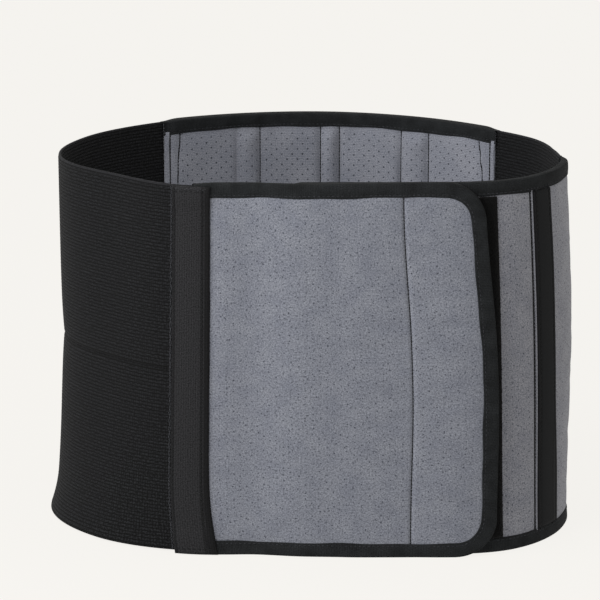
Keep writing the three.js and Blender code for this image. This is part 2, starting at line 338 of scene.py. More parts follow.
looks = {
    # Brushed nylon on foam, matt: a short nap with darker specks of about 1 mm
    "laminate": brushedLaminate("#3a3c44", "#83868f"),
    # The side panel's copy is less blue and a little lighter: partly its own tint, partly painted light that
    # lifts the side, which gets less light
    "sideLaminate": brushedLaminate("#3e3f45", "#8a8b92"),
    # Smooth knitted lining on foam: fine level courses, drawn twice as coarse as real to show
    "lining": {
        "layers": [
            {"mm": 1.15, "share": 0.12, "across": "Y", "wobble": 0.6},
            {"mm": 0.8, "share": 0.88, "detail": 2},
        ],
        "shades": [
            {"ramp": [(0.3, "#52545d"), (0.7, "#85878f")]},
            {"mm": 24, "ramp": [(0.3, "#e6e8ec"), (0.7, "#ffffff")]},
        ],
        "relief": (0.45, 0.25), "sheen": 0.1, "specular": 0.2,
    },
    # Black woven polyester tape, matt, with a faint rib across
    "tape": {
        "layers": [{"mm": 1.0, "share": 0.15, "across": "X", "wobble": 0.8}, {"mm": 0.7, "share": 0.85}],
        "shades": [
            {"ramp": [(0.3, "#08090a"), (0.72, "#2a2c2e")]},
            {"mm": 9, "ramp": [(0.3, "#c4c4c4"), (0.7, "#ffffff")]},
        ],
        "relief": (0.7, 0.3),
    },
    # Black polyester webbing with a speckled face, and a plainer, darker copy for the band on the side
    # panel: partly its own plainer weave, partly painted shade for the side that gets less light
    "webbing": wovenWebbing("#040405", "#29292b"),
    "plainShadedWebbing": wovenWebbing("#090a0b", "#161719"),
    # Black ribbed elastic: the ribs are modelled, and their covering yarns are drawn; painted shade darkens
    # the grooves between the ribs
    "elastic": {
        "layers": [
            {"mm": 1.5, "share": 0.1, "across": "X", "wobble": 2.5},
            {"mm": 1.2, "share": 0.9, "stretch": (0.9, 1.2, 1)},
        ],
        "shades": [
            {"ramp": [(0.44, "#030304"), (0.6, "#1a1b1d")]},
            # painted shade: darker where the rib is low
            {"attribute": "ribHeight", "ramp": [(0.2, "#141414"), (0.8, "#ffffff")]},
            # painted highlight: lighter along the selvedge at the top rim
            {"attribute": "selvedge", "ramp": [(0.0, "#000000"), (1.0, "#141416")], "blend": "ADD"},
        ],
        "relief": (0.7, 0.35), "roughness": 0.85, "sheen": 0.014,
    },
    # Loop side of a touch fastener: black, dull and fuzzy, and drawn darker still, partly painted shade from
    # the flap beside it
    "pile": {
        "layers": [{"mm": 0.9, "share": 1.0}],
        "shades": [{"ramp": [(0.3, "#020202"), (0.75, "#0b0b0c")]}], "relief": (0.8, 0.5),
        "roughness": 0.95, "sheen": 0.02,
    },
    # Plain black cover cloth of the back: a tight matt weave
    "cover": {
        "layers": [
            {"mm": 1.2, "share": 0.2, "across": "X", "wobble": 0.3},
            {"mm": 1.2, "share": 0.2, "across": "Y", "wobble": 0.3}, {"mm": 1.2, "share": 0.6},
        ],
        "shades": [{"ramp": [(0.2, "#0f1012"), (0.8, "#222326")]}], "relief": (0.5, 0.25),
        "sheen": 0.1, "specular": 0.2,
    },
    "thread": plainFibre("#08090a", "#17181a", 0.7, 0.15),
    "tapeThread": plainFibre("#18191b", "#313236", 0.8, 0.1),
    "greyThread": plainFibre("#1f2023", "#3a3b3f", 0.7, 0.2),
    "dullThread": plainFibre("#1d1e20", "#3e3f43", 0.8, 0.1),
    # Flat dark discs on the holes: painted shade for the inside of each hole
    "nappedHoleShade": plainFibre("#363840", "#4f525a", 0.95, 0.05),
    "openHoleShade": plainFibre("#2b2d33", "#43454c", 0.95, 0.05),
}
finish = {name: makeFinish(name, look) for name, look in looks.items()}
print("materials made")


# Mesh makers
def linked(name, data):
    thing = bpy.data.objects.new(name, data)
    bpy.context.scene.collection.objects.link(thing)
    return thing


def newMesh(name, points, edges=(), faces=()):
    mesh = bpy.data.meshes.new(name)
    mesh.from_pydata(points.tolist(), edges, faces)
    return mesh


def meshPiece(name, points, quads, caps, uv, material, attributes=None):
    flatPoints = points.reshape(-1, 3)
    a, b, c, d = (flatPoints[quads[:, k]] for k in range(4))
    volume = (a * np.cross(b, c)).sum() + (a * np.cross(c, d)).sum()
    faces = [list(map(int, quad)) for quad in quads] + [list(map(int, cap)) for cap in caps]
    if volume < 0:
        faces = [face[::-1] for face in faces]
    mesh = newMesh(name, flatPoints, (), faces)
    layer = mesh.uv_layers.new(name="cloth")
    corner = np.zeros(len(mesh.loops), int)
    mesh.loops.foreach_get("vertex_index", corner)
    layer.data.foreach_set("uv", (uv.reshape(-1, 2)[corner] / 1000).ravel())
    for key, values in (attributes or {}).items():
        mesh.attributes.new(key, "FLOAT", "POINT").data.foreach_set("value", values.ravel())
    mesh.polygons.foreach_set("use_smooth", [True] * len(mesh.polygons))
    mesh.materials.append(material)
    mesh.update()
    return linked(name, mesh)


def cells(index):
    corners = [index[:-1, :-1], index[1:, :-1], index[1:, 1:], index[:-1, 1:]]
    return np.stack([c.ravel() for c in corners], -1)


def shellFaces(index):  # outer faces, inner faces and the rim between them
    count = index.size
    ring = np.concatenate([index[:, 0], index[-1, 1:], index[-2::-1, -1], index[0, -2:0:-1]])
    after = np.roll(ring, -1)
    rim = np.stack([ring, after, after + count, ring + count], -1)
    return np.concatenate([cells(index) + count, cells(index)[:, ::-1], rim])


def shellPiece(name, grid, inner, outer, material, attributes=None):
    s, z = grid
    index = np.arange(s.size).reshape(s.shape)
    points = np.stack([place(s, inner, z), place(s, outer, z)])
    uv = np.stack([np.stack([s, z], -1)] * 2)
    doubled = {key: np.stack([v, v]) for key, v in (attributes or {}).items()}
    return meshPiece(name, points, shellFaces(index), [], uv, material, doubled)


def tubePiece(name, rings, uv, material):  # closed rings one after another, with end caps
    n, m = rings.shape[:2]
    index = np.arange(n * m).reshape(n, m)
    index = np.concatenate([index, index[:, :1]], 1)
    caps = [index[0, :-1][::-1], index[-1, :-1]]
    return meshPiece(name, rings, cells(index), caps, uv, material)


def finishPiece(piece, slotName, *nodes):
    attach(piece, "root")
    if nodes:
        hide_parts(*nodes)
    return piece


# Node trees that lay what repeats
def newTree(name, inputs):
    tree = bpy.data.node_groups.new(name, "GeometryNodeTree")
    tree.interface.new_socket("Geometry", in_out="INPUT", socket_type="NodeSocketGeometry")
    kinds = {float: "NodeSocketFloat", int: "NodeSocketInt", type(None): "NodeSocketMaterial"}
    for label, value in inputs.items():
        kind = kinds[type(value)]
        socket = tree.interface.new_socket(label, in_out="INPUT", socket_type=kind)
        if value is not None:
            socket.default_value = value
    tree.interface.new_socket("Geometry", in_out="OUTPUT", socket_type="NodeSocketGeometry")
    return tree, addNode(tree, "NodeGroupInput").outputs


def endTree(tree, geometry, material, smoothFaces=True):
    joined = addNode(tree, "GeometryNodeRealizeInstances", {"Geometry": geometry})
    shaded = addNode(tree, "GeometryNodeSetShadeSmooth", {"Geometry": joined, "Shade Smooth": smoothFaces})
    painted = addNode(tree, "GeometryNodeSetMaterial", {"Geometry": shaded, "Material": material})
    addNode(tree, "NodeGroupOutput", {"Geometry": painted})
    return tree


def stitchTree():  # a row of thread stitches along every line
    tree, given = newTree(
        "stitchRow",
        {
            "Stitch spacing": 0.003, "Stitch length": 0.0022, "Thread width": 0.0007, "Seed": 4,
            "Thread": None,
        },
    )
    curve = addNode(tree, "GeometryNodeMeshToCurve", {"Mesh": given["Geometry"]})
    spaced = addNode(
        tree, "GeometryNodeResampleCurve", {"Curve": curve, "Length": given["Stitch spacing"]},
        mode="LENGTH",
    )
    spots = addNode(tree, "GeometryNodeCurveToPoints", {"Curve": spaced}, mode="EVALUATED")
    turned = addNode(
        tree, "FunctionNodeAlignRotationToVector", {"Vector": spots.outputs["Tangent"]}, axis="Z",
    )
    stitch = addNode(tree, "GeometryNodeMeshUVSphere", {"Segments": 6, "Rings": 4, "Radius": 0.5})
    uneven = addNode(
        tree, "FunctionNodeRandomValue", {2: 0.85, 3: 1.1, "Seed": given["Seed"]}, data_type="FLOAT",
    )
    longer = addNode(
        tree, "ShaderNodeMath", {0: given["Stitch length"], 1: uneven.outputs[1]}, operation="MULTIPLY",
    )
    size = addNode(
        tree, "ShaderNodeCombineXYZ", {"X": given["Thread width"], "Y": given["Thread width"], "Z": longer},
    )
    laid = addNode(
        tree, "GeometryNodeInstanceOnPoints",
        {"Points": spots, "Instance": stitch, "Rotation": turned, "Scale": size},
    )
    return endTree(tree, laid, given["Thread"])


# Each hole is a flat dark disc, painted shade for the hole's inside
def perforationTree():  # a small dark hole at every point, turned to the cloth
    tree, given = newTree(
        "perforations", {"Hole width": 0.001, "Smallest share": 0.6, "Seed": 7, "Shade": None},
    )
    spots = addNode(tree, "GeometryNodeMeshToPoints", {"Mesh": given["Geometry"]})
    way = addNode(tree, "GeometryNodeInputNamedAttribute", {"Name": "facing"}, data_type="FLOAT_VECTOR")
    turned = addNode(tree, "FunctionNodeAlignRotationToVector", {"Vector": way}, axis="Z")
    hole = addNode(tree, "GeometryNodeMeshCircle", {"Vertices": 8, "Radius": 0.5}, fill_type="NGON")
    uneven = addNode(
        tree, "FunctionNodeRandomValue", {2: given["Smallest share"], 3: 1.0, "Seed": given["Seed"]},
        data_type="FLOAT",
    )
    width = addNode(
        tree, "ShaderNodeMath", {0: given["Hole width"], 1: uneven.outputs[1]}, operation="MULTIPLY",
    )
    size = addNode(tree, "ShaderNodeCombineXYZ", {"X": width, "Y": width, "Z": 1.0})
    laid = addNode(
        tree, "GeometryNodeInstanceOnPoints",
        {"Points": spots, "Instance": hole, "Rotation": turned, "Scale": size},
    )
    return endTree(tree, laid, given["Shade"], False)


def ribTree():  # lifts the ribs of the elastic out of its flat face
    tree, given = newTree("elasticRibs", {"Rib depth": 0.0005, "Cloth": None})
    rise = addNode(tree, "GeometryNodeInputNamedAttribute", {"Name": "ribHeight"}, data_type="FLOAT")
    normal = addNode(tree, "GeometryNodeInputNormal")
    lift = addNode(tree, "ShaderNodeMath", {0: rise, 1: given["Rib depth"]}, operation="MULTIPLY")
    move = addNode(tree, "ShaderNodeVectorMath", {0: normal, "Scale": lift}, operation="SCALE")
    raised = addNode(tree, "GeometryNodeSetPosition", {"Geometry": given["Geometry"], "Offset": move})
    return endTree(tree, raised, given["Cloth"])


def pileTree():  # tiny tufts scattered over the pile
    tree, given = newTree(
        "pileTufts", {"Tufts per square metre": 1.2e6, "Tuft size": 0.0009, "Seed": 3, "Pile": None},
    )
    spots = addNode(
        tree, "GeometryNodeDistributePointsOnFaces",
        {"Mesh": given["Geometry"], "Density": given["Tufts per square metre"], "Seed": given["Seed"]},
        distribute_method="RANDOM",
    )
    tuft = addNode(tree, "GeometryNodeMeshUVSphere", {"Segments": 5, "Rings": 3, "Radius": 0.5})
    turn = addNode(
        tree, "FunctionNodeRandomValue", {0: (0, 0, 0), 1: (3.1, 3.1, 3.1), "Seed": given["Seed"]},
        data_type="FLOAT_VECTOR",
    )
    share = addNode(
        tree, "FunctionNodeRandomValue",
        {0: (0.3, 0.3, 0.7), 1: (0.6, 0.6, 1.2), "Seed": given["Seed"]}, data_type="FLOAT_VECTOR",
    )
    size = addNode(tree, "ShaderNodeVectorMath", {0: share, "Scale": given["Tuft size"]}, operation="SCALE")
    laid = addNode(
        tree, "GeometryNodeInstanceOnPoints",
        {"Points": spots, "Instance": tuft, "Rotation": turn, "Scale": size},
    )
    return endTree(tree, laid, given["Pile"])


trees = {"stitches": stitchTree(), "holes": perforationTree(), "ribs": ribTree(), "tufts": pileTree()}


def grown(source, treeName, values, name):  # a plain mesh of what the tree makes from the source
    modifier = source.modifiers.new("grown", "NODES")
    modifier.node_group = trees[treeName]
    for item in trees[treeName].interface.items_tree:
        if item.item_type == "SOCKET" and item.in_out == "INPUT" and item.name in values:
            modifier[item.identifier] = values[item.name]
    bpy.context.view_layer.update()
    view = bpy.context.evaluated_depsgraph_get()
    mesh = bpy.data.meshes.new_from_object(source.evaluated_get(view))
    old = source.data
    bpy.data.objects.remove(source)
    bpy.data.meshes.remove(old)
    mesh.name = name
    return linked(name, mesh)


# Thread of each kind of seam, with the spacing, length and width of its stitches in mm
seamKinds = {
    "tape": ("tapeThread", 2.9, 2.1, 0.7), "band": ("thread", 3.0, 2.4, 0.7),
    "tack": ("greyThread", 1.5, 1.1, 0.5), "cover": ("thread", 2.9, 2.3, 0.7),
    "panel": ("thread", 2.3, 2.7, 0.8), "groove": ("thread", 2.3, 2.7, 1.4),
    "overlock": ("dullThread", 1.25, 1.2, 0.5), "lining": ("thread", 2.3, 2.6, 0.95),
}


def sewnLines(name, slotName, lines, kind):
    thread, spacing, length, width = seamKinds[kind]
    edges, start = [], 0
    for line in lines:
        edges += [(start + k, start + k + 1) for k in range(len(line) - 1)]
        start += len(line)
    mesh = newMesh(name + "Lines", np.concatenate(lines), edges)
    values = {
        "Stitch spacing": spacing / 1000, "Stitch length": length / 1000, "Thread width": width / 1000,
        "Thread": finish[thread],
    }
    return finishPiece(grown(linked(mesh.name, mesh), "stitches", values, name), slotName)


def perforated(name, points, ways, shade, holes, seed):
    mesh = newMesh(name + "Points", points)
    mesh.attributes.new("facing", "FLOAT_VECTOR", "POINT").data.foreach_set("vector", ways.ravel())
    values = {
        "Hole width": holes["width"] / 1000, "Smallest share": holes["smallest"], "Seed": seed,
        "Shade": finish[shade],
    }
    finishPiece(grown(linked(mesh.name, mesh), "holes", values, name), "perforated_laminate")


# Padded cloth
def swollen(name, grid, inner, outer, held, settings):
    # Cloth simulation of the closed panel, held at its edges and seams. The result is how far
    # each point of the inner and outer face has moved out of the panel, in mm.
    s, z = grid
    index = np.arange(s.size).reshape(s.shape)
    start = np.stack([place(s, inner, z), place(s, outer, z)]).reshape(-1, 3)
    mesh = newMesh(name, start, (), shellFaces(index).tolist())
    pad = linked(name, mesh)
    group = pad.vertex_groups.new(name="held")
    weights = np.tile(held.ravel(), 2)
    for value in np.unique(weights):
        if value > 0:
            group.add(np.flatnonzero(weights == value).tolist(), float(value), "REPLACE")
    cloth = pad.modifiers.new("cloth", "CLOTH")
    chosen = {
        "quality": 5, "mass": 0.3, "tension_stiffness": settings["stiffness"],
        "compression_stiffness": settings["stiffness"], "shear_stiffness": 5,
        "bending_stiffness": settings["bending"], "shrink_min": -settings["slack"],
        "vertex_group_mass": "held", "use_pressure": True, "uniform_pressure_force": settings["pressure"],
    }
    for key, value in chosen.items():
        setattr(cloth.settings, key, value)
    cloth.settings.effector_weights.gravity = 0
    cloth.point_cache.frame_start = 1
    cloth.point_cache.frame_end = settings["frames"]
    scene = bpy.context.scene
    for number in range(1, settings["frames"] + 1):
        scene.frame_set(number)
    view = bpy.context.evaluated_depsgraph_get()
    result = bpy.data.meshes.new_from_object(pad.evaluated_get(view))
    ended = np.zeros(len(start) * 3)
    result.vertices.foreach_get("co", ended)
    moved = (ended.reshape(-1, 3) - start).reshape(2, *s.shape, 3) * 1000
    bpy.data.objects.remove(pad)
    bpy.data.meshes.remove(mesh)
    bpy.data.meshes.remove(result)
    scene.frame_set(1)
    ways = facing(s, z)
    rises = [-(moved[0] * ways).sum(-1), (moved[1] * ways).sum(-1)]
    cap = settings["cap"]
    print(f"{name}: cloth rose {rises[0].max():.2f} and {rises[1].max():.2f} mm")
    return [cap * np.tanh(rise / cap) for rise in rises]


def softness(s, z, seed, size):  # slow shallow waves of a soft wall
    a = np.sin(s / 31 + 1.7 * seed) * np.sin(z / 43 + 0.9 * seed)
    b = np.sin(s / 17 - z / 53 + 2.3 * seed) * 0.6
    return size * (a + b)


padCloth = {"pressure": 1.5, "stiffness": 8, "bending": 0.3, "slack": 0.004, "frames": 16}

# Panels with one rounded end, inside their edge tape
cornerRadius = 24
pinchFrom, pinchWide = 5, 8  # the cloth is pinched together up to here, and less over the next mm
waveFrom = 30  # distance from the edge at which the soft waves are full


def cornerCut(panel, s):  # what the rounded corners take off at the top and the foot
    if not panel["corner"]:
        return 0 * s
    way = np.sign(panel["end"] - panel["open"])
    radius = panel["corner"] - sleeve
    past = np.clip((s - (panel["end"] - way * panel["corner"])) * way, 0, radius)
    return radius - np.sqrt(radius**2 - past**2)


def panelReach(panel, s):  # lowest and highest place of a panel inside its tape
    cut = cornerCut(panel, s)
    return sleeve + cut, panel["top"](s) - sleeve - cut


def panelGrid(panel, size):
    way = np.sign(panel["end"] - panel["open"])
    start, end = panel["open"] + way * panel["insets"][0], panel["end"] - way * panel["insets"][1]
    seams = panel["seams"]
    if size < 4:
        seams = [seam + d for seam in seams for d in panel["besideSeam"]]
    columns = steps(start, end, size, seams)
    shares = np.linspace(0, 1, round(height / size) + 1)
    s = np.repeat(columns[:, None], len(shares), 1)
    low, high = panelReach(panel, s)
    return columns, shares, s, low + (high - low) * shares


def edgeDistance(panel, s, z):  # from the top, the foot and both ends of a panel
    reach = [z, panel["top"](s) - z, abs(panel["end"] - s), abs(panel["open"] - s)]
    return np.min(reach, axis=0)


def puffed(panel, name):  # the fine grid of a panel, its flat faces and how far both rise
    columns, shares, s, z = panelGrid(panel, 5)
    held = (edgeDistance(panel, s, z) < tapeDepth + 1).astype(float)
    for seam in panel["seams"]:
        held = np.maximum(held, (abs(s - seam) < 1).astype(float))
    for low, high in panel["sewnDown"]:
        held = np.maximum(held, within(s, low, high))
    rises = swollen(name + "Pad", (s, z), *panel["faces"](s, z), held, panel["cloth"])
    panel["columns"], panel["shares"], s, z = panelGrid(panel, 2)
    share = np.broadcast_to(panel["shares"], s.shape)
    fine = [blurred(sampled(rise, columns, shares, s, share), panel["blur"]) for rise in rises]
    return s, z, *panel["faces"](s, z), *fine


def paddedPanel(panel, name, material):
    s, z, inner, outer, inRise, outRise = puffed(panel, name)
    groove = sum(near(s, seam, panel["grooveWide"]) for seam in panel["seams"])
    border = edgeDistance(panel, s, z)
    pinch = panel["pinch"] * (1 - smooth((border - pinchFrom) / pinchWide))
    wave = softness(s, z, panel["seed"], panel["waves"]) * smooth(border / waveFrom)
    free = blurred(1.0 - sum(within(s, low, high) for low, high in panel["sewnDown"]), 3)
    panel["inner"] = inner - inRise * panel["inShare"] + pinch + panel["grooveIn"] * groove
    panel["outer"] = outer + outRise + wave * free - pinch - panel["grooveDepth"] * groove
    return shellPiece(name, (s, z), panel["inner"], panel["outer"], material)


def faceAt(panel, face, s, z):  # the finished face of a panel at any place on it
    low, high = panelReach(panel, s)
    return sampled(panel[face], panel["columns"], panel["shares"], s, (z - low) / (high - low))


def lattice(start, end, foot, top, holes):  # every second column stands half a step higher
    columns = np.arange(start, end, holes["across"] / 2)
    s, z = gridOf(columns, np.arange(foot, top, holes["down"]))
    return s, z + (np.arange(len(columns)) % 2)[:, None] * holes["down"] / 2


# Perforations of the two panels in mm; the smallest hole is a share of the full width
punched = {
    "across": 8.3, "down": 4.4, "jitter": 0.4, "width": 1.15, "smallest": 0.2, "margin": 3,
    "offTape": 2, "offSeam": 2.5,
}


def panelHoles(panel, name, face, shade, seed):
    random = np.random.default_rng(seed)
    margin = tapeDepth + punched["margin"]
    first, last = sorted((panel["open"], panel["end"]))
    s, z = lattice(first + margin, last - margin, margin, height - margin, punched)
    s = s + random.normal(0, punched["jitter"], s.shape)
    z = z + random.normal(0, punched["jitter"], s.shape)
    keep = edgeDistance(panel, s, z) > tapeDepth + punched["offTape"]
    for seam in panel["seams"]:
        keep &= abs(s - seam) > punched["offSeam"]
    for low, high in panel["covered"][face]:
        keep &= (s < low - 1) | (s > high + 1)
    inCorner = cornerCut(panel, s) + tapeDepth + punched["offTape"]
    keep &= (z > inCorner) & (z < height - inCorner)
    s, z = s[keep], z[keep]
    side = 1 if face == "outer" else -1
    points = place(s, faceAt(panel, face, s, z) + side * 0.04, z)
    perforated(name, points, facing(s, z, side), shade, punched, seed)


# What the flap and the side panel have in common; the tape's ends cover their corners
panelBase = {
    "corner": cornerRadius, "insets": (0.9, sleeve), "besideSeam": (-1.6, -0.8, 0, 0.8, 1.6),
    "pinch": 0.3, "blur": 2, "grooveWide": 0.9, "grooveIn": 0.3,
}
flap = {
    **panelBase, "open": -65.3, "end": 119.5, "seams": [68.5], "sewnDown": [(-70, -52)],
    "grooveDepth": 0.9, "waves": 0.28, "inShare": 0.3, "seed": 1,
    "covered": {"inner": [(60, 125)], "outer": [(-80, -52)]}, "cloth": {**padCloth, "cap": 0.9},
}
# Its free end stands this much higher than its sewn end
flapRise = (1.5, flap["open"], flap["end"] - flap["open"])
flap["top"] = lambda s: height + rampUp(s, *flapRise)
flap["faces"] = lambda s, z: (flapIn + 0 * s, flapOut + 0 * s)

side = {
    **panelBase, "open": 236, "end": -20, "seams": [151.3], "endStitches": [226.5, 232.5],
    "sewnDown": [(-25, 127), (151, 173.5)], "grooveDepth": 1.0, "waves": 0.3,
    "inShare": 0.5, "seed": 2, "top": level(height),
    "covered": {"inner": [(222, 240)], "outer": [(-30, 126.5), (149, 173.5)]},
    "cloth": {**padCloth, "cap": 0.8},
    # It is sewn flat on the elastic near its open end: by how much, from where and over what length
    "pressIn": (1.4, 220, 14), "pressOut": (2.1, 205, 27), "tapeProud": (0.5, 226, 6),
}
side["faces"] = lambda s, z: (
    rampUp(s, *side["pressIn"]) + 0 * z, panelThick - rampUp(s, *side["pressOut"]) + 0 * z,
)

frontPanel = paddedPanel(flap, "frontPanel", finish["laminate"])
finishPiece(frontPanel, "perforated_laminate", "front_panel")
sidePanel = paddedPanel(side, "sidePanel", finish["sideLaminate"])
finishPiece(sidePanel, "perforated_laminate", "side_panel")
for panel, name in ((flap, "frontPanel"), (side, "sidePanel")):
    for face, shade, seed in (("outer", "nappedHoleShade", 11), ("inner", "openHoleShade", 12)):
        panelHoles(panel, f"{name}{face.capitalize()}Holes", face, shade, seed)
print(f"panels made, {time.time() - started:.0f} s")


# Edge tape, folded over the edges and stitched near its inner edge
tape = {
    "stitchDepth": 7.5,
    "station": 2.2,
    # Depth from the fold and rise over the cloth, from the cut edge to the fold
    "leg": [
        (9.0, 0.1), (9.05, 0.4), (8.7, 0.6), (8.1, 0.64), (7.5, 0.52), (6.9, 0.68), (5.8, 0.84),
        (4.2, 0.93), (2.4, 0.98), (1.2, 0.96), (0.4, 0.78), (0.08, 0.32),
    ],
    "under": [(8.5, 0.07), (1.0, 0.07)],
    "flatWidth": 23,
    # Both ends are sewn flatter and a little lower over this length
    "endFade": 13,
    "endThin": 0.3,
    "endDip": 0.9,
}


def tapePath(panel):  # along the top, round the free end and back along the foot
    way = np.sign(panel["end"] - panel["open"])
    bend = panel["end"] - way * cornerRadius
    straight = steps(panel["open"], bend, tape["station"])[:: int(way)]
    rise = float(panel["top"](np.array(panel["end"]))) - cornerRadius
    arc = np.radians(np.arange(6, 90, 6))
    u, v = np.sin(arc), np.cos(arc)
    turn = bend + way * cornerRadius * u
    return np.array(
        [
            *((a, float(panel["top"](np.array(a))), 0, -1) for a in straight),
            *zip(turn, rise + cornerRadius * v, -way * u, -v),
            *((panel["end"], z, -way, 0) for z in steps(cornerRadius, rise, tape["station"])[::-1]),
            *list(zip(turn, cornerRadius * (1 - v), -way * u, v))[::-1],
            *((a, 0, 0, 1) for a in straight[::-1]),
        ],
        float,
    )


def tapePiece(name, path, layerIn, layerOut, seed):
    leg, under = tape["leg"], tape["under"]
    # Which face each point of the section follows: -1 the inner, 0 the middle and 1 the outer
    section = [(deep, rise, -1, 1) for deep, rise in leg]
    section += [(0.0, -0.8, 0, 0), (-0.02, 0.0, 0, 0), (0.0, 0.8, 0, 0)]
    section += [(deep, rise, 1, 1) for deep, rise in leg[::-1]]
    section += [(deep, rise, 1, 0) for deep, rise in under]
    section += [(deep, rise, -1, 0) for deep, rise in under[::-1]]
    deep, rise, face, soft = (np.array(v, float) for v in zip(*section))
    run = addedUp(np.hypot(*np.diff(path[:, :2], axis=0).T))
    nearEnd = 1 - smooth(np.minimum(run, run[-1] - run) / tape["endFade"])
    ends = tape["endThin"] * nearEnd
    edge = 0.3 * np.sin(run / 13 + seed) + 0.2 * np.sin(run / 5.3 + 2 * seed)
    puff = 0.1 * np.sin(run / 4.1 + seed) + 0.1 * np.sin(run / 11 - seed) - ends
    low, high = layerIn(path[:, 0])[:, None], layerOut(path[:, 0])[:, None]
    deeper = deep + (deep > 6) * edge[:, None] + tape["endDip"] * nearEnd[:, None]
    full = np.sin(np.pi * np.clip(deep / 9, 0.08, 0.92)) * soft
    lifted = rise * (1 - np.where(face == 0, 0, ends[:, None] * 0.6)) + full * puff[:, None]
    middle = 0.5 * (low + high) + rise
    out = np.where(face < 0, low - lifted, np.where(face > 0, high + lifted, middle))
    along = path[:, :1] + path[:, 2:3] * deeper
    z = path[:, 1:2] + path[:, 3:4] * deeper
    across = addedUp(np.hypot(np.diff(deep), np.diff(rise)))
    uv = np.stack(np.broadcast_arrays(run[:, None], across[None, :]), -1)
    piece = tubePiece(name, place(along, out, np.maximum(z, 0.0)), uv, finish["tape"])
    return piece, run[-1]


def tapeLines(path, layerIn, layerOut):
    along, z = (path[:, k] + path[:, k + 2] * tape["stitchDepth"] for k in (0, 1))
    return [place(along, out, z) for out in (layerIn(path[:, 0]) - 0.5, layerOut(path[:, 0]) + 0.5)]


back = {"width": 245.5, "shift": 2.7, "stayDepth": 2.4, "press": 1.3}
backCentre = girth / 2 + back["shift"]
backStart, backEnd = backCentre - back["width"] / 2, backCentre + back["width"] / 2


def backPress(s):  # the cover is sewn flat on the elastic at both ends
    return back["press"] * (1 - smooth(np.minimum(s - backStart, backEnd - s) / 14))


def liningPress(s):  # the lining thins out towards both ends
    return 2.0 * (1 - smooth(np.minimum(s - backStart, backEnd - s) / 9))


def sideIn(s):
    return side["faces"](s, 0)[0]


def sideOut(s):  # the tape's end stays proud of the thinned panel
    return side["faces"](s, 0)[1] + rampUp(s, *side["tapeProud"])


def coverOut(s):
    return shellOut - backPress(s)


backRows = {"backTapeTop": (height, -1), "backTapeFoot": (0, 1)}
tapes = [
    ("frontPanelTape", tapePath(flap), level(flapIn), level(flapOut), "front_panel_tape", "frontPanel"),
    ("sidePanelTape", tapePath(side), sideIn, sideOut, "side_panel_tape", "sidePanel"),
]
for name, (z, inward) in backRows.items():
    columns = steps(backStart - 0.6, backEnd + 0.6, tape["station"])[::-inward]
    path = np.array([(a, z, 0, inward) for a in columns], float)
    node = "back_tape_" + name.removeprefix("backTape").lower()
    tapes.append((name, path, liningPress, coverOut, node, "backLining"))
for number, (name, path, layerIn, layerOut, node, carrier) in enumerate(tapes):
    piece, long = tapePiece(name, path, layerIn, layerOut, number + 1)
    finishPiece(piece, "edge_tape", node)
    lines = tapeLines(path, layerIn, layerOut)
    stitches = sewnLines(name + "Stitches", "edge_tape", lines, "tape")
print("tapes made")


# Webbing trims over the seams: how dark the painted shade along their stitch lines is, and how deep the
# lines sink
stitchShadeFoldTone, stitchDent = 0.75, 0.28


def stripPiece(name, strip, outerAt, material):
    kept = [line + d for line in strip["stitches"] for d in (-0.9, 0, 0.9)]
    kept += [strip["to"] - strip["fold"] + d for d in (0, 0.6)]
    kept += [strip["from"] + 0.35, strip["to"] - 0.35]
    columns = steps(strip["from"], strip["to"], 1.0, kept)
    rows = steps(strip["low"], strip["high"], 2.5, [strip["low"] + 0.4, strip["high"] - 0.4])
    s, z = gridOf(columns, rows)
    # The edges run slightly unevenly
    centre = 0.5 * (strip["from"] + strip["to"])
    s = centre + (s - centre) * (1 + 0.012 * np.sin(z / 19) + 0.006 * np.sin(z / 6))
    ends = np.minimum(z - strip["low"], strip["high"] - z)
    border = np.minimum(np.minimum(s - strip["from"], strip["to"] - s), ends)
    full = roundOff(border, 0.5, 0.04)
    inner = outerAt(s, z) - strip["thick"]
    dent = sum(near(s, line, 0.6) for line in strip["stitches"]) * stitchDent
    folded = strip["step"] * smooth((s - (strip["to"] - strip["fold"])) / 0.7)
    outer = inner + strip["thick"] * full - dent * full + folded * full
    outer += 0.08 * np.sin(z / 14 + 1) * full
    share = np.clip((s - strip["from"]) / (strip["to"] - strip["from"]), 0, 1)
    s = s + strip["footShift"](z) * share  # the right edge spreads towards the foot
    # Painted shade along the stitch lines, and the folded strip's own darker tone
    shade = stitchShadeFoldTone * np.clip(sum(near(s, line, 0.7) for line in strip["stitches"]), 0, 1)
    shade = np.maximum(shade, strip["foldTone"] * smooth((s - (strip["to"] - strip["fold"])) / 0.5))
    return shellPiece(name, (s, z), inner, outer, material, {"stitchShadeFoldTone": shade})


def bandLines(strip, outerAt, sunk):
    z = steps(*strip["sewnHeight"], 3)
    return [place(line, outerAt(line, z) - sunk, z) for line in strip["stitches"]]


def overTape(z):  # the band climbs over the tape at the top and the foot
    return sleeve * (1 - smooth((np.minimum(z, height - z) - tapeDepth - 0.5) / tapeDepth))


seamAt, halfBand = flap["open"] - gap / 2, 10.5
seamBand = {
    "from": seamAt - halfBand, "to": seamAt + halfBand, "low": gap,
    "high": height - 2, "thick": 1.1, "stitches": [flap["open"] - 9.4, flap["open"] + 6.1],
    "sewnHeight": (3, height - 5), "fold": 3.4, "foldTone": 0.8,
    "footShift": lambda z: 2.2 * np.clip(1 - z / 55, 0, 1) ** 2, "step": 0.25,
}


def seamBandOut(s, z):
    return flapOut + gap + seamBand["thick"] - 0.1 + overTape(z)


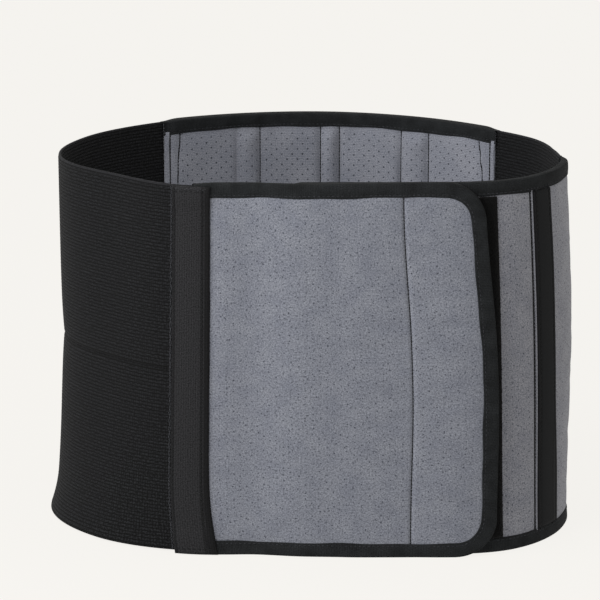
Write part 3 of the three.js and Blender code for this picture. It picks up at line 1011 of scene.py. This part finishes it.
bandPiece = stripPiece("frontSeamBand", seamBand, seamBandOut, finish["webbing"])
finishPiece(bandPiece, "webbing", "front_seam_band")
lines = bandLines(seamBand, seamBandOut, 0.22)
for z in (4.0, height - 5.2):
    row = steps(seamBand["from"] + 2, seamBand["to"] - 2, 1.5)
    lines.append(place(row, seamBandOut(row, z + 0 * row) + 0.06, z + 0 * row))
bandStitches = sewnLines("frontSeamBandStitches", "webbing", lines, "band")
tackRow = steps(seamBand["from"] + 2.5, seamBand["to"] - 2.5, 1.2)
tackZ = height - 3.6 + 0.35 * zigzag(tackRow)
tackLine = place(tackRow, seamBandOut(tackRow, tackZ) + 0.1, tackZ)
barTack = sewnLines("frontSeamBandTack", "webbing", [tackLine], "tack")

sideBand = {
    "from": 152.9, "to": 171.2, "low": tapeDepth + gap, "high": height - tapeDepth - gap, "thick": 1.1,
    "stitches": [155.2, 168.9], "sewnHeight": (tapeDepth, height - tapeDepth), "fold": 0.5,
    "foldTone": 0.0, "footShift": lambda z: 4.0 * smooth((100 - z) / 70), "step": 0.0,
}


def sideBandOut(s, z):
    return panelThick + gap + sideBand["thick"] - 0.15 + 0 * s


piece = stripPiece("sideBand", sideBand, sideBandOut, finish["plainShadedWebbing"])
finishPiece(piece, "webbing", "side_band")
lines = bandLines(sideBand, sideBandOut, 0.2)
sideBandStitches = sewnLines("sideBandStitches", "webbing", lines, "cover")

# A thin raised fold of the grey laminate beside the band, next to the sewn groove
piping = {"at": 152.1, "radius": 0.5, "sides": 10}
pipeZ = steps(tapeDepth - 0.5, height - tapeDepth + 0.5, 3)
angles = np.linspace(0, 2 * np.pi, piping["sides"], endpoint=False)
pipeAlong = piping["at"] + piping["radius"] * np.cos(angles)
pipeOut = panelThick + 0.35 + piping["radius"] * np.sin(angles)
pipeUv = np.stack(np.broadcast_arrays(angles[None, :], pipeZ[:, None]), -1)
rings = place(pipeAlong, pipeOut, pipeZ[:, None])
pipe = tubePiece("sidePiping", rings, pipeUv, finish["sideLaminate"])
finishPiece(pipe, "perforated_laminate")
seamZ = steps(tapeDepth - 0.5, height - tapeDepth + 0.5, 2.5)


def seamLine(panel, face, line, lift):
    line = line + 0 * seamZ
    return place(line, faceAt(panel, face, line, seamZ) + lift, seamZ)


sewn = [(flap, flap["seams"][0], 0.12), (side, side["seams"][0], 0.12)]
sewn += [(side, line, 0.1) for line in side["endStitches"]]
lines = [seamLine(panel, "outer", line, lift) for panel, line, lift in sewn]
for name, rows, kind in (("panelSeam", [0, 2, 3], "panel"), ("sideGroove", [1], "groove")):
    sewnLines(name + "Stitches", "perforated_laminate", [lines[k] for k in rows], kind)


# Touch fastener: the hook pad is hidden behind the flap, and the loop pad shows past its edge
def padStrip(name, margin, first, last, layer, thick):
    s, z = gridOf(steps(first, last, 3), steps(margin, height - margin, 3))
    return shellPiece(name, (s, z), layer + 0 * s, layer + thick + 0 * s, finish["pile"])


loopWide, loopEdge = 100, 125.5
hookFrom, hookTo, hookMargin = 72.2, 110.2, 20
pileFrom = 112.5  # the pile stands up where the flap leaves it bare
loopPad = padStrip("loopPad", tapeDepth + gap, loopEdge - loopWide, loopEdge, panelThick + gap, 1.0)
hookPad = padStrip("hookPad", hookMargin, hookFrom, hookTo, loopOut + gap, 1.1)
pileStrip = padStrip("pileStrip", tapeDepth + 1, pileFrom, loopEdge, loopOut - 0.45, 0.25)
tufts = grown(
    pileStrip, "tufts", {"Tufts per square metre": 6e5, "Tuft size": 0.0011, "Pile": finish["pile"]},
    "loopPadTufts",
)
finishPiece(tufts, "loop_pile")
finishPiece(loopPad, "loop_pile", "loop_pad")
finishPiece(hookPad, "hook_tape", "hook_pad")
print("trims and fastener made")


# Ribbed elastic, two bands one above the other on each side
elastic = {
    "lap": 12, "inset": 2, "join": 119, "joinGap": 0.25, "dip": 2, "flare": 4, "ribPitch": 2.19,
    "ribDepth": 0.5, "selvedge": 1.3, "plainEdge": 1.4, "station": 4,
}
frontLayer = flapOut - elasticThick
bands = {
    "left": {
        "from": backEnd - elastic["lap"] - girth, "to": flap["open"] - gap, "layerFrom": backElasticIn,
        "layerTo": frontLayer, "insetFrom": sleeve, "insetTo": elastic["inset"], "quick": 1,
    },
    "right": {  # it comes out of the lap sooner than the left one
        "from": side["open"] - elastic["lap"], "to": backStart + elastic["lap"],
        "layerFrom": sideElasticIn + 1.5, "layerTo": backElasticIn, "insetFrom": 0.8,
        "insetTo": sleeve, "quick": 1.5,
    },
}


def freeShare(band, s):
    lap = elastic["lap"]
    return np.clip((s - band["from"] - lap) / (band["to"] - band["from"] - 2 * lap), 0, 1)


def elasticInner(band, s, z):
    free = freeShare(band, s)
    dip = elastic["dip"] * np.exp(-abs(z - elastic["join"]) / (0.08 * height))
    flare = elastic["flare"] * np.clip(1 - z / (0.12 * height), 0, 1) ** 2
    share = smooth(free * band["quick"])
    layer = band["layerFrom"] + (band["layerTo"] - band["layerFrom"]) * share
    return layer + np.sin(np.pi * free) * (flare - dip)


def elasticBand(name, band, upper):
    columns = steps(band["from"], band["to"], elastic["station"])
    bottom = elastic["join"] + elastic["joinGap"] if upper else elastic["inset"]
    edge = [0.0, 0.12, 0.4, 0.9, 1.6]
    tall = (height - sleeve if upper else elastic["join"] - elastic["joinGap"]) - bottom
    first = elastic["selvedge"] if upper else elastic["plainEdge"]
    last = tall - first
    count = round((last - first) / elastic["ribPitch"])
    ribStart = first + (last - first) / count * np.arange(count)
    inRib = [0.0, 0.14, 0.38, 0.62, 0.86]
    ribs = (ribStart[:, None] + (last - first) / count * np.array(inRib)[None, :]).ravel()
    rows = np.unique(np.round(np.concatenate([edge, ribs, [last], tall - np.array(edge)]), 4))
    rows = rows[np.concatenate([[True], np.diff(rows) > 0.05])]
    phase = (rows - first) / (last - first) * count
    inside = (rows >= first) & (rows <= last)
    ribHeight = np.where(inside, abs(np.sin(np.pi * phase)) ** 0.6, 0.55)
    # The top selvedge, which the elastic's look paints lighter as a highlight
    selvedge = np.where(upper & (rows > last + 0.2), 1.0, 0.0)
    shares = rows / rows[-1]
    s = np.repeat(columns[:, None], len(rows), 1)
    inset = band["insetFrom"] + (band["insetTo"] - band["insetFrom"]) * freeShare(band, s)
    top = height - inset if upper else elastic["join"] - elastic["joinGap"] + 0 * s
    z = bottom + (top - bottom) * shares
    base = elasticInner(band, s, z) + softness(s, z, 5, 0.35) * np.sin(np.pi * freeShare(band, s))
    border = np.minimum(z - bottom, top - z)
    half = 0.5 * elasticThick * roundOff(border, 0.9, 0.02)
    half = np.maximum(half - 0.5 * elastic["ribDepth"] * (half > 0.6), 0.12)
    middle = base + 0.5 * elasticThick
    attributes = {
        "ribHeight": np.broadcast_to(ribHeight, s.shape), "selvedge": np.broadcast_to(selvedge, s.shape),
    }
    source = shellPiece(name + "Flat", (s, z), middle - half, middle + half, finish["elastic"], attributes)
    values = {"Rib depth": elastic["ribDepth"] / 1000, "Cloth": finish["elastic"]}
    return grown(source, "ribs", values, name)


for sideName, band in bands.items():
    for part in ("Upper", "Lower"):
        name = f"{sideName}Elastic{part}"
        piece = elasticBand(name, band, part == "Upper")
        finishPiece(piece, "ribbed_elastic", f"{sideName}_elastic_{part.lower()}")

# Overlock stitches where the left elastic meets the webbing band
left = bands["left"]
overZ = steps(3, height - 3, 0.55)
overAlong = seamBand["from"] - 1.1 + 0.55 * zigzag(overZ)
overOut = elasticInner(left, overAlong, overZ) + elasticThick + 0.15
overLine = place(overAlong, overOut, overZ)
sewnLines("elasticOverlock", "ribbed_elastic", [overLine], "overlock")
print(f"elastic made, {time.time() - started:.0f} s")


# Back panel: perforated lining with three sewn stay channels, and a plain cover outside
stays = [(-0.2295, 0.085), (0.0195, 0.053), (0.249, 0.066)]  # centre and width, shares of its width
channelSeams = [
    backCentre + (centre + half * width) * back["width"]
    for centre, width in stays
    for half in (-0.5, 0.5)
]


def stayBulge(s, z):
    fade = smooth((z - tapeDepth) / tapeDepth) * smooth((height - tapeDepth - z) / tapeDepth)
    across = [
        (s - backCentre - centre * back["width"]) / (0.5 * width * back["width"])
        for centre, width in stays
    ]
    bulge = [np.where(abs(x) < 1, np.cos(np.pi / 2 * np.clip(x, -1, 1)), 0) for x in across]
    return back["stayDepth"] * fade * np.max(bulge, axis=0)


# The end seams of the lining lean: the end they belong to, the distance in and how far they lean
endSeams = {"right": (backStart, 14, -5.5), "left": (backEnd, -12, 3)}
leanTall = 45


def endSeam(z, end):
    edge, inward, lean = endSeams[end]
    return edge + inward + lean * smooth((height - z) / leanTall)


lining = {
    "open": backStart, "end": backEnd, "corner": 0, "insets": (0, 0), "top": level(height),
    "faces": lambda s, z: (-stayBulge(s, z), panelThick + 0 * s), "seams": channelSeams,
    "besideSeam": (-1.2, 0, 1.2), "sewnDown": [], "blur": 1, "pinch": 0.3, "grooveDepth": 1.4,
    "grooveWide": 2.0, "endGroove": 1.1, "endLines": (3.6, 3.8), "seed": 3, "waves": 0.25,
    "offSeam": 1.6, "offEndSeam": 1.8, "holes": {"across": 7.2, "down": 7.2, "width": 1.35, "smallest": 0.8},
    "cloth": {**padCloth, "slack": 0.006, "cap": 0.9},
}
s, z, inner, outer, rise, _ = puffed(lining, "backLining")
border = np.minimum(z, height - z)
groove = sum(near(s, seam, lining["grooveWide"]) for seam in channelSeams)
groove += sum(near(s, endSeam(z, end), lining["endGroove"]) for end in ("left", "right"))
pinch = lining["pinch"] * (1 - smooth((border - pinchFrom) / pinchWide))
inner = inner - rise + lining["grooveDepth"] * groove * smooth(border / 12) + pinch
inner = inner - softness(s, z, lining["seed"], lining["waves"]) * smooth(border / waveFrom)
lining["inner"] = np.minimum(inner + liningPress(s), panelThick - 0.9)
backLining = shellPiece("backLining", (s, z), lining["inner"], outer, finish["lining"])
finishPiece(backLining, "perforated_laminate", "back_lining")

s, z = lattice(backStart + 6, backEnd - 5, tapeDepth + 3, height - tapeDepth - 5, lining["holes"])
s, z = s.ravel(), z.ravel()
clear = np.min([abs(s - seam) for seam in channelSeams], axis=0) > lining["offSeam"]
clear &= s > endSeam(z, "right") + lining["offEndSeam"]
clear &= s < endSeam(z, "left") - lining["offEndSeam"]
s, z = s[clear], z[clear]
out = faceAt(lining, "inner", s, z) - 0.05
perforated("backLiningHoles", place(s, out, z), facing(s, z, -1), "openHoleShade", lining["holes"], 5)

# The seam furthest left in the photograph shows no stitches
liningLines = [*sorted(channelSeams)[:-1], *(endSeam(seamZ, end) for end in ("left", "right"))]
liningLines += [backStart + lining["endLines"][0], backEnd - lining["endLines"][1]]
lines = [seamLine(lining, "inner", line, -0.1) for line in liningLines]
sewnLines("liningSeamStitches", "perforated_laminate", lines, "lining")


# Narrow folded strips that close the two ends of the lining
stripWide = (3.0, 3.2)


def edgeStrip(name, first, last):
    s, z = gridOf(np.linspace(first, last, 9), steps(tapeDepth - 1, height - tapeDepth + 1, 3))
    t = np.clip((s - first) / (last - first), 0, 1)
    crown = np.sin(np.pi * t) ** 0.5 * (1 + 0.15 * np.sin(z / 2.3) * np.sin(z / 7))
    s = s + 0.25 * np.sin(z / 3.1) * np.sin(z / 11)
    press = liningPress(s)
    return shellPiece(name, (s, z), press - 0.2 - 0.6 * crown, press + 0.5, finish["lining"])


for name, first, last in (
    ("liningEdgeRight", backStart, backStart + stripWide[0]),
    ("liningEdgeLeft", backEnd - stripWide[1], backEnd),
):
    finishPiece(edgeStrip(name, first, last), "perforated_laminate")

columns, _, s, z = panelGrid(lining, 3)
border = edgeDistance(lining, s, z)
coverSeam = 4  # distance of the cover's seams from its ends
coverLines = (backStart + coverSeam, backEnd - coverSeam)
wave = softness(s, z, 4, 0.35) * smooth(border / waveFrom)
outer = coverOut(s) - 0.1 + 0.5 * smooth((border - 8) / 14) + wave
outer = outer + 0.3 * stayBulge(s, z)
outer = outer - 0.5 * sum(near(s, edge, 1.2) for edge in coverLines)
backShell = shellPiece("backShell", (s, z), shellIn + 0.05 - 0.3 * backPress(s), outer, finish["cover"])
finishPiece(backShell, "shell_cloth", "back_shell")
lines = [
    place(edge, np.interp(seamZ, z[0], outer[np.argmin(abs(columns - edge))]) + 0.1, seamZ)
    for edge in coverLines
]
coverStitches = sewnLines("backShellStitches", "shell_cloth", lines, "cover")
print(f"back made, {time.time() - started:.0f} s")


# Studio: pale floor, soft light and the camera. The floor share is how much of its brightness takes shade.
studio = {
    "paper": "#f5f3ef", "floorHalf": 12, "floorGlow": 0.955, "floorShare": 0.04, "world": 1.0,
    "camera": (0.14016, -1.87708, 0.60465), "target": (-0.00448, -0.0392, 0.145), "lens": 176.7,
    "sun": 1.7, "sunFrom": (-0.95, -0.4, 0.42), "sunAngle": 30,
    "box": 3.5, "boxAt": (-0.3, -0.6, 0.55), "boxSize": 0.3,
}


def studioFloor():
    half = studio["floorHalf"]
    corners = [(x, y, -0.0002) for x, y in ((-half, -half), (half, -half), (half, half), (-half, half))]
    mesh = newMesh("floor", np.array(corners), (), [(0, 1, 2, 3)])
    material, tree = newFinish("floorPaper")
    colour = linear(studio["paper"])
    low = [studio["floorShare"] * c for c in colour[:3]] + [1]
    shader = addNode(
        tree, "ShaderNodeBsdfPrincipled",
        {
            "Base Color": low, "Roughness": 1.0, "Specular IOR Level": 0.0, "Emission Color": colour,
            "Emission Strength": studio["floorGlow"],
        },
    )
    addNode(tree, "ShaderNodeOutputMaterial", {"Surface": shader})
    mesh.materials.append(material)
    linked("floor", mesh)


def studioLight():
    world = bpy.data.worlds.new("studioWorld")
    world.use_nodes = True
    tree = world.node_tree
    tree.nodes.clear()
    sky = addNode(
        tree, "ShaderNodeBackground", {"Color": linear(studio["paper"]), "Strength": studio["world"]},
    )
    addNode(tree, "ShaderNodeOutputWorld", {"Surface": sky})
    bpy.context.scene.world = world
    sun = bpy.data.lights.new("softSun", "SUN")
    sun.energy = studio["sun"]
    sun.angle = math.radians(studio["sunAngle"])
    box = bpy.data.lights.new("softBox", "AREA")  # close by, so that the left is lit more
    box.energy = studio["box"]
    box.size = studio["boxSize"]
    for light, way, at in ((sun, "sunFrom", (0, 0, 2)), (box, "boxAt", studio["boxAt"])):
        lamp = linked(light.name, light)
        lamp.location = at
        lamp.rotation_euler = Vector(studio[way]).to_track_quat("Z", "Y").to_euler()


def studioCamera():
    camera = bpy.data.cameras.new("camera")
    camera.lens = studio["lens"]
    camera.sensor_width = 36
    body = linked("camera", camera)
    body.location = studio["camera"]
    way = Vector(studio["target"]) - Vector(studio["camera"])
    body.rotation_euler = way.to_track_quat("-Z", "Y").to_euler()
    bpy.context.scene.camera = body


studioFloor()
studioLight()
studioCamera()
bpy.context.scene.view_settings.view_transform = "Standard"
print(f"studio made, {time.time() - started:.0f} s")
